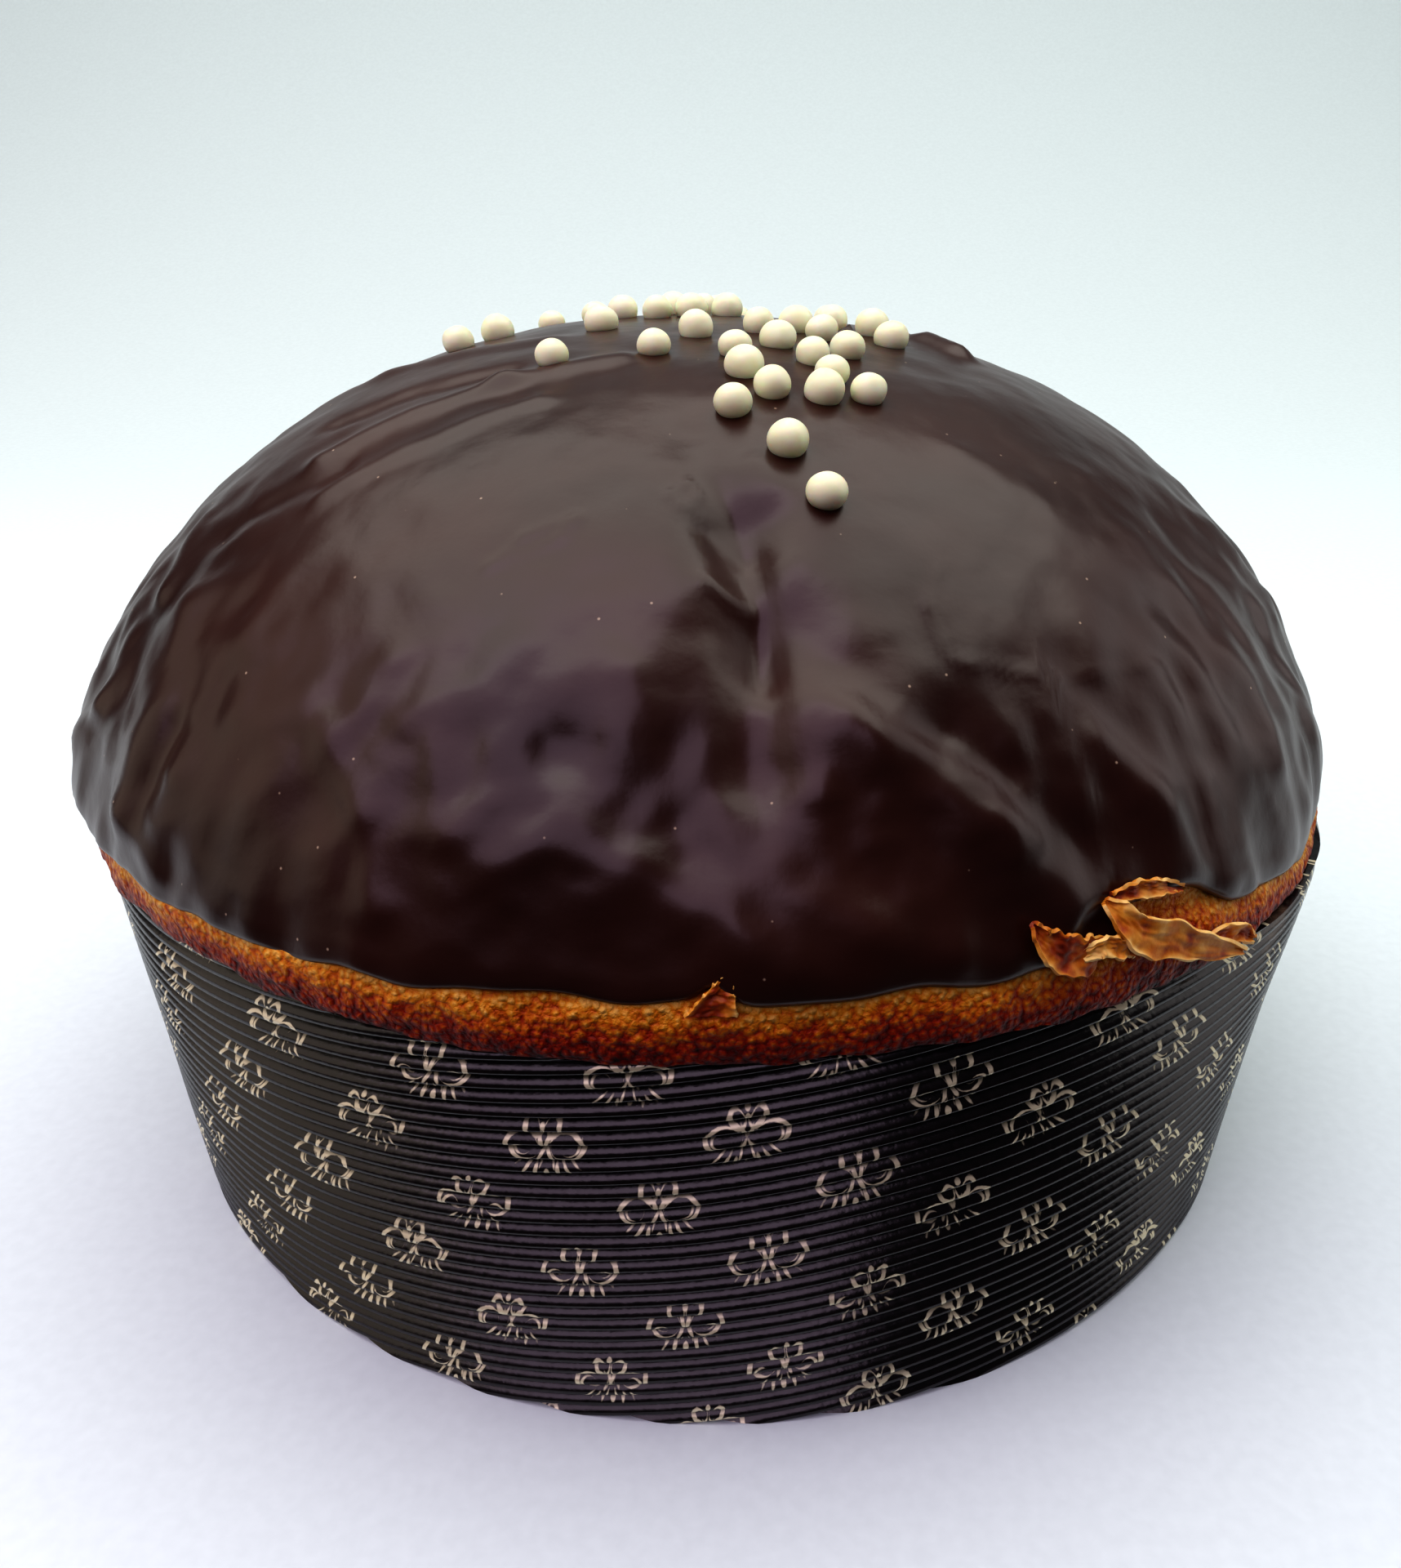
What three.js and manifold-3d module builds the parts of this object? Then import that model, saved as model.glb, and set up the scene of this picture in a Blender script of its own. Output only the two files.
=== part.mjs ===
// A chocolate-glazed low panettone in its corrugated paper baking mould, about one kilogram.
// Millimetres, +Z up. The origin is the middle of the mould's base, and -Y is the front.
import * as THREE from "three";
import { mergeVertices } from "three/addons/utils/BufferGeometryUtils.js";
import Module from "manifold-3d";

// The mould: a tapered cup of corrugated paper, 206 mm across its base.
const BASE_RADIUS = 103;
const RIM_RADIUS = 109;
const MOULD_HEIGHT = 70;
const PAPER = 1.2;
const RIB_PITCH = 2.39;
const RIB_DEPTH = 0.35;
const RIB_SLANT = [11.5, 2.1, 7];
const RIB_LOWEST_Z = -16;
const RIM_DIP_LEFT = { azimuth: -66, wide: 17, drop: 4 };
const RIM_DIP_RIGHT = { azimuth: 60, wide: 15, drop: 3.5 };
const RIM_WAVE = 0.4;
const RIM_PULL = { azimuth: 56, wide: 11, out: 1.3, fromZ: 38 };
// How far the cutting bodies reach past what they cut.
const CUT_SPARE = 20;
const HOLLOW_LEVELS = [PAPER, 40, 56, MOULD_HEIGHT + 3];

// The loaf and its glaze: the widest ring of the dome, its height, and the apex.
const DOME_RADIUS = 109.8;
const DOME_WIDEST_Z = 74.6;
const DOME_TOP_Z = 141.3;
const DOME_ACROSS_POWER = 2.48;
const DOME_UP_POWER = 1.49;
const DOME_SHIFT_X = -1.8;
// Under its widest ring the outline runs almost straight down.
const SKIRT_DROP = 20;
const SKIRT_TAPER = 0.5;
const GLAZE = 1.9;
const GLAZE_EDGE_Z = 78.3;
const EDGE_DIP_LEFT = { azimuth: -60, wide: 16, drop: 3 };
const EDGE_DIP_RIGHT = { azimuth: 66, wide: 17, drop: 8 };
const EDGE_AT_TEAR = { azimuth: 26, wide: 9, drop: -5.5 };
const EDGE_WAVES = [
  { rise: 0.6, times: 5, start: 20 },
  { rise: 0.4, times: 11, start: 0 },
];
const CRUST_RADIUS = 108.9;
const CRUST_TUCK = 0.9;
const LOAF_WAIST_Z = 35;
const GAP = 0.35;

// Leaves of torn crust: their root on the band, how high their tip is, and how far it lifts.
const FLAKES = [
  { left: 17, right: 29, rootZ: 73.5, tip: 21, tipZ: 80, lift: 1.8 },
  { left: 28, right: 37, rootZ: 74.5, tip: 31.5, tipZ: 80.5, lift: 2.2 },
  { left: 33, right: 42, rootZ: 76, tip: 41, tipZ: 71, lift: 3 },
];
const FLAKE_THICKNESS = 0.9;
const FLAKE_ROOT_DEPTH = 1.2;

// White sugar pearls, half sunk in the glaze.
const PEARL_RADIUS = 2.8;
const PEARL_LIFT = 1.3;
const PEARL_SPACING = 6.2;
const HIDDEN_PEARLS = 8;
const HIDDEN_FIELD = { x: -30, y: 22, wide: 62, deep: 30 };
const PEARL_SEED = 11;

const SEGMENTS = 48;
const BREAD_RINGS = 9;
const GLAZE_RINGS = 17;
const RING_CROWDING = 1.25;
const LIP_PLACE = 0.004;
const MERGE_DISTANCE = 1e-4;

// Soft bumps on the dome: azimuth from the front and height of each end, width and rise.
const FOLDS = [
  { name: "front valley, upper", from: [0, 134], to: [5, 126], wide: 6, rise: -1.6 },
  { name: "front valley, middle", from: [5, 126], to: [6, 116], wide: 6, rise: -2.4 },
  { name: "front valley, lower", from: [6, 116], to: [3, 104], wide: 7, rise: -1.6 },
  { name: "front valley, foot", from: [1, 116], to: [-1, 95], wide: 5, rise: -1.5 },
  { name: "dimple left of the valley", from: [-9, 105], to: [-5, 101], wide: 6, rise: -1.2 },
  { name: "right shoulder fold", from: [9, 107], to: [21, 95], wide: 5, rise: 1.3 },
  { name: "fold down to the tear", from: [21, 95], to: [25, 84], wide: 5, rise: 1.2 },
  { name: "left flank fold", from: [-54, 109], to: [-48, 84], wide: 5, rise: 1.4 },
  { name: "left edge bump", from: [-66, 83], to: [-66, 83], wide: 7, rise: 0.8 },
  { name: "right edge bump", from: [66, 84], to: [66, 84], wide: 8, rise: 0.9 },
  { name: "right shoulder", from: [62, 116], to: [65, 99], wide: 9, rise: -1.6 },
  { name: "swelling at the lower edge", from: [3, 84], to: [15, 83], wide: 6, rise: 1.0 },
];

// Where the pearls lie that the front shows, as x and y over the dome.
const PEARL_PLACES = [
  [-43.6, 7], [-37.3, 11.8], [-24, -25], [-18, -1], [-15.4, 19.8], [-9, 16.5],
  [-2.8, 17.4], [-8.5, -22.9], [-2, -9.9], [3.6, 19.3], [4, -24.7], [5.1, -34.3],
  [8.9, -41], [3.2, -46.4], [10.9, -17.7], [15.7, -26.5], [10.4, -55.4], [15, -64.6],
  [18, -34], [16.4, -41], [23, -38.8], [21.8, -19.3], [30.3, -6.5], [8.4, -4.6],
  [14.7, -2.6], [18.6, -8.4], [21.4, 4.4], [28, 1.6],
];

const wasm = await Module();
wasm.setup();

const radians = THREE.MathUtils.degToRad;
const smooth = THREE.MathUtils.smoothstep;
const bell = (x, middle, wide) => Math.exp(-(((x - middle) / wide) ** 2));
const dip = (at, azimuth) => at.drop * bell(azimuth, at.azimuth, at.wide);

// Azimuth 0 is the front, and it grows to the right.
const place = (azimuth, radius, z, shift = 0) =>
  new THREE.Vector3(
    shift + radius * Math.sin(radians(azimuth)),
    -radius * Math.cos(radians(azimuth)),
    z,
  );
const ring = (point) =>
  Array.from({ length: SEGMENTS }, (_, i) => point(-180 + (360 * i) / SEGMENTS));

// A closed body from rings that run bottom to top, with a point at each end. The first
// inner rows run downwards, and split their squares so that they match the body they cover.
function ringBody(bottom, rings, top, innerRows = 0) {
  const points = [bottom, ...rings.flat(), top];
  const index = [];
  const at = (row, i) => 1 + row * SEGMENTS + (i % SEGMENTS);
  for (let i = 0; i < SEGMENTS; i++) {
    index.push(0, at(0, i + 1), at(0, i));
    for (let row = 0; row + 1 < rings.length; row++) {
      const [a, b, c, d] = [at(row, i), at(row, i + 1), at(row + 1, i + 1), at(row + 1, i)];
      if (row < innerRows) index.push(a, b, c, a, c, d);
      else index.push(a, b, d, b, c, d);
    }
    index.push(at(rings.length - 1, i), at(rings.length - 1, i + 1), points.length - 1);
  }
  return new THREE.BufferGeometry().setFromPoints(points).setIndex(index);
}

function toSolid(geometry) {
  const bare = geometry.clone().deleteAttribute("normal").deleteAttribute("uv");
  const merged = mergeVertices(bare, MERGE_DISTANCE);
  return new wasm.Manifold(
    new wasm.Mesh({
      numProp: 3,
      vertProperties: merged.attributes.position.array,
      triVerts: new Uint32Array(merged.index.array),
    }),
  );
}

function toGeometry(solid) {
  const { vertProperties, triVerts } = solid.getMesh();
  return new THREE.BufferGeometry()
    .setAttribute("position", new THREE.BufferAttribute(vertProperties, 3))
    .setIndex(new THREE.BufferAttribute(triVerts, 1));
}

// The paper's rim dips a little at both sides, and is never quite level.
const rimZ = (azimuth) =>
  MOULD_HEIGHT -
  dip(RIM_DIP_LEFT, azimuth) -
  dip(RIM_DIP_RIGHT, azimuth) +
  RIM_WAVE * Math.sin(radians(7 * azimuth + 40));

// At the right the rim is pulled away from the loaf.
const straightRadius = (z) => BASE_RADIUS + ((RIM_RADIUS - BASE_RADIUS) * z) / MOULD_HEIGHT;
const wallRadius = (azimuth, z) =>
  straightRadius(z) +
  RIM_PULL.out *
    bell(azimuth, RIM_PULL.azimuth, RIM_PULL.wide) *
    smooth(z, RIM_PULL.fromZ, MOULD_HEIGHT);

// The corrugations climb across the front, because the paper was cut askew to them.
const ribClimb = (azimuth) =>
  RIB_SLANT[0] * Math.sin(radians(azimuth)) +
  RIB_SLANT[1] * Math.sin(radians(3 * azimuth)) -
  RIB_SLANT[2] * (1 - Math.cos(radians(azimuth)));

const middle = (z) => new THREE.Vector3(0, 0, z);

function paperMould() {
  const highest = MOULD_HEIGHT + CUT_SPARE;
  const ribs = [];
  for (let k = 0; RIB_LOWEST_Z + (k * RIB_PITCH) / 2 < highest; k++) {
    const side = k % 2 ? RIB_DEPTH : -RIB_DEPTH;
    ribs.push(
      ring((azimuth) => {
        const z = RIB_LOWEST_Z + (k * RIB_PITCH) / 2 + ribClimb(azimuth);
        return place(azimuth, wallRadius(azimuth, z) + side, z);
      }),
    );
  }
  const lowEnd = middle(RIB_LOWEST_Z - CUT_SPARE);
  const ribbed = toSolid(ringBody(lowEnd, ribs, middle(highest + CUT_SPARE)));
  const outside = RIM_RADIUS + CUT_SPARE;
  const inside = BASE_RADIUS - CUT_SPARE;
  const trimRings = [
    ring((azimuth) => place(azimuth, outside, 0)),
    ring((azimuth) => place(azimuth, outside, rimZ(azimuth))),
    ring((azimuth) => place(azimuth, inside, rimZ(azimuth))),
  ];
  const trim = toSolid(ringBody(middle(0), trimRings, middle(MOULD_HEIGHT)));
  const hollowRing = (z) => ring((azimuth) => place(azimuth, wallRadius(azimuth, z) - PAPER, z));
  const hollowTop = middle(HOLLOW_LEVELS[HOLLOW_LEVELS.length - 1]);
  const hollow = toSolid(ringBody(middle(PAPER), HOLLOW_LEVELS.map(hollowRing), hollowTop));
  return toGeometry(ribbed.intersect(trim).subtract(hollow));
}

// The dome's plain outline: s runs from 0 at the apex to 1 at the widest ring, then down.
function domeOutline(s) {
  if (s > 1) return [DOME_RADIUS - SKIRT_TAPER * (s - 1), DOME_WIDEST_Z - SKIRT_DROP * (s - 1)];
  const angle = ((1 - s) * Math.PI) / 2;
  return [
    DOME_RADIUS * Math.cos(angle) ** (2 / DOME_ACROSS_POWER),
    DOME_WIDEST_Z + (DOME_TOP_Z - DOME_WIDEST_Z) * Math.sin(angle) ** (2 / DOME_UP_POWER),
  ];
}

function outlineAtHeight(z) {
  if (z < DOME_WIDEST_Z) return 1 + (DOME_WIDEST_Z - z) / SKIRT_DROP;
  const rise = Math.min(1, (z - DOME_WIDEST_Z) / (DOME_TOP_Z - DOME_WIDEST_Z));
  return 1 - Math.asin(rise ** (DOME_UP_POWER / 2)) / (Math.PI / 2);
}

// The plain dome at an azimuth and an outline place, moved in along its normal by inset.
function domePoint(azimuth, s, inset) {
  const step = 0.02;
  const [r, z] = domeOutline(s);
  const [r1, z1] = domeOutline(Math.max(0, s - step));
  const [r2, z2] = domeOutline(s + step);
  const along = Math.hypot(r2 - r1, z2 - z1);
  const radius = Math.max(GAP, r - (inset * (z1 - z2)) / along);
  return place(azimuth, radius, z - (inset * (r2 - r1)) / along, DOME_SHIFT_X);
}

const foldLines = FOLDS.map((fold) => {
  const [from, to] = [fold.from, fold.to].map(([azimuth, z]) =>
    domePoint(azimuth, outlineAtHeight(z), 0),
  );
  return { ...fold, line: new THREE.Line3(from, to) };
});

function relief(azimuth, s) {
  const here = domePoint(azimuth, s, 0);
  const nearest = new THREE.Vector3();
  return foldLines.reduce((sum, { line, wide, rise }) => {
    line.closestPointToPoint(here, true, nearest);
    return sum + rise * bell(here.distanceTo(nearest), 0, wide);
  }, 0);
}

const skin = (azimuth, s, inset) => domePoint(azimuth, s, inset - relief(azimuth, s));

// The glaze ends in a wavy edge, lower at both sides, and cut back where the crust is torn.
const glazeEdgeZ = (azimuth) =>
  GLAZE_EDGE_Z -
  dip(EDGE_DIP_LEFT, azimuth) -
  dip(EDGE_DIP_RIGHT, azimuth) -
  dip(EDGE_AT_TEAR, azimuth) +
  EDGE_WAVES.reduce((sum, { rise, times, start }) => {
    return sum + rise * Math.sin(radians(times * azimuth + start));
  }, 0);
const glazeEdge = (azimuth) => outlineAtHeight(glazeEdgeZ(azimuth));

// Rings close up towards the edge, where the dome turns steep.
const ringPlace = (k, count) => 1 - (1 - k / count) ** RING_CROWDING;

function bread() {
  const wallGap = PAPER + GAP;
  const inMould = (z) =>
    ring((azimuth) => place(azimuth, straightRadius(z(azimuth)) - wallGap, z(azimuth)));
  const crust = (share, radius) =>
    ring((azimuth) => {
      const low = rimZ(azimuth) + 1;
      const high = glazeEdgeZ(azimuth) - 3 * GAP;
      return place(azimuth, radius, low + share * (high - low), DOME_SHIFT_X * share);
    });
  const rings = [
    inMould(() => wallGap),
    inMould(() => LOAF_WAIST_Z),
    inMould(rimZ),
    crust(0.25, CRUST_RADIUS - CRUST_TUCK),
    crust(0.6, CRUST_RADIUS),
    crust(1, CRUST_RADIUS - CRUST_TUCK),
  ];
  for (let k = BREAD_RINGS; k > 0; k--) {
    const share = ringPlace(k, BREAD_RINGS);
    rings.push(ring((azimuth) => skin(azimuth, share * glazeEdge(azimuth), GLAZE + GAP)));
  }
  const loaf = toSolid(ringBody(middle(wallGap), rings, skin(0, 0, GLAZE + GAP)));
  return toGeometry(FLAKES.reduce((whole, leaf) => whole.add(flake(leaf)), loaf));
}

// One leaf of torn crust: a bent triangle that stands off the band at its tip.
function flake({ left, right, rootZ, tip, tipZ, lift }) {
  const middleZ = (rootZ + tipZ) / 2;
  const face = (out) => {
    const root = CRUST_RADIUS + out - FLAKE_ROOT_DEPTH;
    const bend = CRUST_RADIUS + out + lift / 2;
    return [
      place(left, root, rootZ),
      place(right, root, rootZ),
      place((right + tip) / 2, bend, middleZ),
      place(tip, CRUST_RADIUS + out + lift, tipZ),
      place((left + tip) / 2, bend, middleZ),
    ];
  };
  const points = [...face(0), ...face(FLAKE_THICKNESS)];
  const count = points.length / 2;
  // A leaf that hangs down would come out inside out, so its faces are wound the other way.
  const hangs = tipZ < rootZ;
  const index = [];
  const triangle = (a, b, c) => index.push(...(hangs ? [a, c, b] : [a, b, c]));
  for (let i = 1; i + 1 < count; i++) {
    triangle(0, i + 1, i);
    triangle(count, count + i, count + i + 1);
  }
  for (let i = 0; i < count; i++) {
    const next = (i + 1) % count;
    triangle(i, next, count + next);
    triangle(i, count + next, count + i);
  }
  return toSolid(new THREE.BufferGeometry().setFromPoints(points).setIndex(index));
}

// A seeded draw, so that every build puts the unseen pearls in the same places.
function seededDraw(seed) {
  const factor = 16807;
  const period = 2147483647;
  let state = seed;
  return () => {
    state = (state * factor) % period;
    return state / period;
  };
}

function pearlPlaces() {
  const places = [...PEARL_PLACES];
  const draw = seededDraw(PEARL_SEED);
  while (places.length < PEARL_PLACES.length + HIDDEN_PEARLS) {
    const x = HIDDEN_FIELD.x + HIDDEN_FIELD.wide * draw();
    const y = HIDDEN_FIELD.y + HIDDEN_FIELD.deep * draw();
    const clear = places.every((other) => Math.hypot(other[0] - x, other[1] - y) > PEARL_SPACING);
    if (clear) places.push([x, y]);
  }
  return places;
}

function pearl([x, y]) {
  const across = x - DOME_SHIFT_X;
  const azimuth = THREE.MathUtils.radToDeg(Math.atan2(across, -y));
  const radius = Math.hypot(across, y) / DOME_RADIUS;
  const s = 1 - Math.acos(radius ** (DOME_ACROSS_POWER / 2)) / (Math.PI / 2);
  const centre = skin(azimuth, s, -PEARL_LIFT);
  const ball = new THREE.SphereGeometry(PEARL_RADIUS, 7, 4).rotateX(Math.PI / 2);
  return toSolid(ball.rotateZ(x).translate(centre.x, centre.y, centre.z));
}

function chocolateGlaze() {
  const rings = [];
  for (let k = 1; k <= BREAD_RINGS; k++) {
    const share = ringPlace(k, BREAD_RINGS);
    rings.push(ring((azimuth) => skin(azimuth, share * glazeEdge(azimuth), GLAZE)));
  }
  rings.push(ring((azimuth) => skin(azimuth, glazeEdge(azimuth) + LIP_PLACE, GLAZE / 2)));
  for (let k = GLAZE_RINGS; k > 0; k--) {
    const share = ringPlace(k, GLAZE_RINGS);
    rings.push(ring((azimuth) => skin(azimuth, share * glazeEdge(azimuth), 0)));
  }
  const shell = toSolid(ringBody(skin(0, 0, GLAZE), rings, skin(0, 0, 0), BREAD_RINGS - 1));
  return toGeometry(pearlPlaces().reduce((whole, spot) => whole.add(pearl(spot)), shell));
}

const panettone = new THREE.Group();
const pieces = [
  ["paper_mould", paperMould(), { color: 0x2b1c20, roughness: 0.55 }],
  ["bread", bread(), { color: 0xb06a2c, roughness: 0.8 }],
  ["chocolate_glaze", chocolateGlaze(), { color: 0x2c1512, roughness: 0.35 }],
];
for (const [name, geometry, finish] of pieces) {
  const material = new THREE.MeshStandardMaterial({ metalness: 0, ...finish });
  const mesh = new THREE.Mesh(geometry, material);
  mesh.name = name;
  panettone.add(mesh);
}

export default panettone;
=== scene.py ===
import math

import bmesh
import bpy
import numpy as np
from mathutils import Matrix, Vector, noise


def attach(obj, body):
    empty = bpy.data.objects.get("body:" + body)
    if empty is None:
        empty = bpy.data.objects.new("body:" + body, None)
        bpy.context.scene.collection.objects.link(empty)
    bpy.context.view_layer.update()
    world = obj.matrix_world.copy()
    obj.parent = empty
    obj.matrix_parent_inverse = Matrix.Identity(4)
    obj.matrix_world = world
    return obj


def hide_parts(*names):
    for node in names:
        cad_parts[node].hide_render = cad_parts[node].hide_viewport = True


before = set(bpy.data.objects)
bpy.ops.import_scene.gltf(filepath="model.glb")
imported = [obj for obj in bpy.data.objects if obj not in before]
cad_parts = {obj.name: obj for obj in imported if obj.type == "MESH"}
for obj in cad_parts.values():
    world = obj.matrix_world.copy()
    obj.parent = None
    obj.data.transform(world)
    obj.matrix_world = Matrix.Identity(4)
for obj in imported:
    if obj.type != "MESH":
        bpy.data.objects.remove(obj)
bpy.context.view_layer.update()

# Camera
# A phone held close in front of the loaf and a little above it, looking down at it.
# Place, tilt and lens were fitted to the mould's base, sides and ribs in the photo.
CAMERA_PLACE = (-0.00157, -0.2406, 0.1712)
CAMERA_TILT = math.radians(64.16)
CAMERA_ROLL = math.radians(-0.25)
CAMERA_LENS_MM = 30.94

bpy.ops.object.select_all(action="DESELECT")
bpy.ops.object.camera_add(location=CAMERA_PLACE)
camera = bpy.context.object
camera.name = "camera"
camera.rotation_euler = (
    Matrix.Rotation(CAMERA_TILT, 3, "X") @ Matrix.Rotation(CAMERA_ROLL, 3, "Z")
).to_euler()
camera.data.lens = CAMERA_LENS_MM
camera.data.sensor_width = 36.0
camera.data.clip_start = 0.01
bpy.context.scene.camera = camera
bpy.context.scene.view_settings.view_transform = "Standard"
bpy.context.scene.view_settings.look = "High Contrast"


# Light tent
# A white sheet on a dark table, that runs up behind the loaf in one sweep, lit by soft
# panels above, at both sides and at the front left. The rest of the front is open and dark.
SHEET_HALF_WIDTH = 1.1
SHEET_FRONT = -0.14
SHEET_BACK = 1.25
SHEET_HEIGHT = 2.2
SHEET_SWEEP = 0.75
CLOTH_GRAIN = 0.0024
TABLE_SIZE = 6.0
TABLE_DROP = 0.002
TABLE_GRAIN = 0.1
# What counts as being at an edge of the sheet.
NEAR = 0.01


def linear(code):
    """Turns a six-digit sRGB code into the linear colour that a shader socket takes."""
    channels = []
    for start in (0, 2, 4):
        value = int(code[start:start + 2], 16) / 255
        if value <= 0.04045:
            channels.append(value / 12.92)
        else:
            channels.append(((value + 0.055) / 1.055) ** 2.4)
    return (*channels, 1.0)


def add_node(tree, kind, settings=None, inputs=None, stops=None):
    """Adds a shader node with its settings, its inputs (values or sockets) and ramp stops."""
    made = tree.nodes.new(kind)
    for name, value in (settings or {}).items():
        setattr(made, name, value)
    for place, value in (inputs or {}).items():
        if isinstance(value, bpy.types.NodeSocket):
            tree.links.new(value, made.inputs[place])
        else:
            made.inputs[place].default_value = value
    for number, (position, code) in enumerate(stops or []):
        if number > 1:
            made.color_ramp.elements.new(position)
        made.color_ramp.elements[number].position = position
        made.color_ramp.elements[number].color = linear(code)
    return made


def new_material(name):
    """Makes a node material with no nodes yet."""
    material = bpy.data.materials.new(name)
    material.use_nodes = True
    material.node_tree.nodes.clear()
    return material, material.node_tree


# Matt white cloth: no gloss, and almost no colour of its own.
tent_cloth, tree = new_material("matt_tent_cloth")
place = add_node(tree, "ShaderNodeTexCoord").outputs["Object"]
grain = add_node(
    tree, "ShaderNodeTexNoise", inputs={"Vector": place, "Scale": 1 / CLOTH_GRAIN, "Detail": 2.0}
)
tint = add_node(
    tree, "ShaderNodeValToRGB", inputs={"Fac": grain.outputs["Fac"]},
    stops=[(0.3, "dbe7ea"), (0.7, "dfebee")],
)
surface = add_node(tree, "ShaderNodeBsdfPrincipled", inputs={
    "Base Color": tint.outputs["Color"],
    "Roughness": 0.9,
    "Specular IOR Level": 0.1,
})
add_node(tree, "ShaderNodeOutputMaterial", inputs={"Surface": surface.outputs["BSDF"]})

bpy.ops.object.select_all(action="DESELECT")
bpy.ops.mesh.primitive_plane_add(size=1.0)
sheet = bpy.context.object
sheet.name = "tent_sheet"
bpy.ops.object.mode_set(mode="EDIT")
bpy.ops.transform.resize(value=(2 * SHEET_HALF_WIDTH, SHEET_BACK - SHEET_FRONT, 1.0))
bpy.ops.transform.translate(value=(0.0, (SHEET_BACK + SHEET_FRONT) / 2, 0.0))
bpy.ops.mesh.select_mode(type="EDGE")
bpy.ops.mesh.select_all(action="DESELECT")
shell = bmesh.from_edit_mesh(sheet.data)
for edge in shell.edges:
    edge.select_set(all(corner.co.y > SHEET_BACK - NEAR for corner in edge.verts))
bmesh.update_edit_mesh(sheet.data)
bpy.ops.mesh.extrude_region_move(TRANSFORM_OT_translate={"value": (0.0, 0.0, SHEET_HEIGHT)})
bpy.ops.mesh.select_all(action="DESELECT")
shell = bmesh.from_edit_mesh(sheet.data)
for edge in shell.edges:
    at_fold = [corner.co.y > SHEET_BACK - NEAR and corner.co.z < NEAR for corner in edge.verts]
    edge.select_set(all(at_fold))
bmesh.update_edit_mesh(sheet.data)
bpy.ops.mesh.bevel(offset=SHEET_SWEEP, segments=24, profile=0.5)
bpy.ops.object.mode_set(mode="OBJECT")
bpy.ops.object.shade_smooth()
sheet.data.materials.append(tent_cloth)

# Dark stained table: matt, with a fine grain.
table_stain, tree = new_material("dark_stained_table")
place = add_node(tree, "ShaderNodeTexCoord").outputs["Object"]
grain = add_node(
    tree, "ShaderNodeTexNoise", inputs={"Vector": place, "Scale": 1 / TABLE_GRAIN, "Detail": 4.0}
)
tint = add_node(
    tree, "ShaderNodeValToRGB", inputs={"Fac": grain.outputs["Fac"]},
    stops=[(0.3, "262220"), (0.7, "322d2a")],
)
surface = add_node(tree, "ShaderNodeBsdfPrincipled", inputs={
    "Base Color": tint.outputs["Color"],
    "Roughness": 0.7,
    "Specular IOR Level": 0.3,
})
add_node(tree, "ShaderNodeOutputMaterial", inputs={"Surface": surface.outputs["BSDF"]})

bpy.ops.object.select_all(action="DESELECT")
bpy.ops.mesh.primitive_plane_add(size=TABLE_SIZE, location=(0.0, 0.0, -TABLE_DROP))
bpy.ops.object.transform_apply(location=True)
table = bpy.context.object
table.name = "dark_table"
table.data.materials.append(table_stain)

PANELS = [
    # name, place, looks at, width, height, watts, colour
    ("panel_above", (0.0, 0.24, 1.0), (0.0, 0.2, 0.0), 1.9, 1.05, 11.7, "fdfbf3"),
    ("panel_front", (-0.48, -0.62, 0.8), (-0.48, -0.5, 0.0), 1.25, 1.05, 7.0, "e9d1ea"),
    ("panel_left", (-1.2, -0.1, 0.5), (0.0, 0.0, 0.08), 1.0, 0.9, 2.0, "fff0dc"),
    ("panel_right", (1.2, 0.2, 0.55), (0.0, 0.0, 0.08), 1.0, 0.9, 2.6, "fbf6f4"),
]
for name, place, target, width, height, watts, code in PANELS:
    bpy.ops.object.light_add(type="AREA", location=place)
    panel = bpy.context.object
    panel.name = name
    panel.rotation_euler = (Vector(target) - Vector(place)).to_track_quat("-Z", "Y").to_euler()
    panel.data.shape = "RECTANGLE"
    panel.data.size = width
    panel.data.size_y = height
    panel.data.energy = watts
    panel.data.color = linear(code)[:3]

world = bpy.data.worlds.new("open_room")
world.use_nodes = True
world.node_tree.nodes["Background"].inputs["Color"].default_value = linear("dfe8f0")
world.node_tree.nodes["Background"].inputs["Strength"].default_value = 0.07
bpy.context.scene.world = world


# Paper mould
# A low baking mould of dark brown corrugated paper, printed with small gold flowers.
# The corrugated strip is wound into a ring and glued round a flat paper base.
BASE_RADIUS = 103.0
RIM_RADIUS = 109.0
MOULD_HEIGHT = 70.0
PAPER = 1.2
RIB_PITCH = 2.39
RIB_DEPTH = 1.15
# The wound strip's climb from left to right, the wave in it, and its drop to the back.
RIB_SLANT = (11.5, 2.1, 7.0)
MOULD_COLUMNS = 300
RIB_FIRST = -10
RIB_COUNT = 47
# Where the mesh has its rows in each rib: close together at the groove.
RIB_ROWS = np.array([0.0, 0.08, 0.18, 0.32, 0.5, 0.68, 0.82, 0.92])
RIB_ROUNDNESS = 1.2
RIB_LEVEL = 0.62
# Azimuth, width and drop of each dip of the rim.
RIM_DIPS = [(-66, 17, 4), (60, 15, 3.5)]
RIM_WAVE = 0.4
# At the right the rim is pulled away from the loaf.
PULL_AZIMUTH = 56
PULL_WIDTH = 11
PULL_OUT = 1.3
PULL_FROM_HEIGHT = 38
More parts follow.
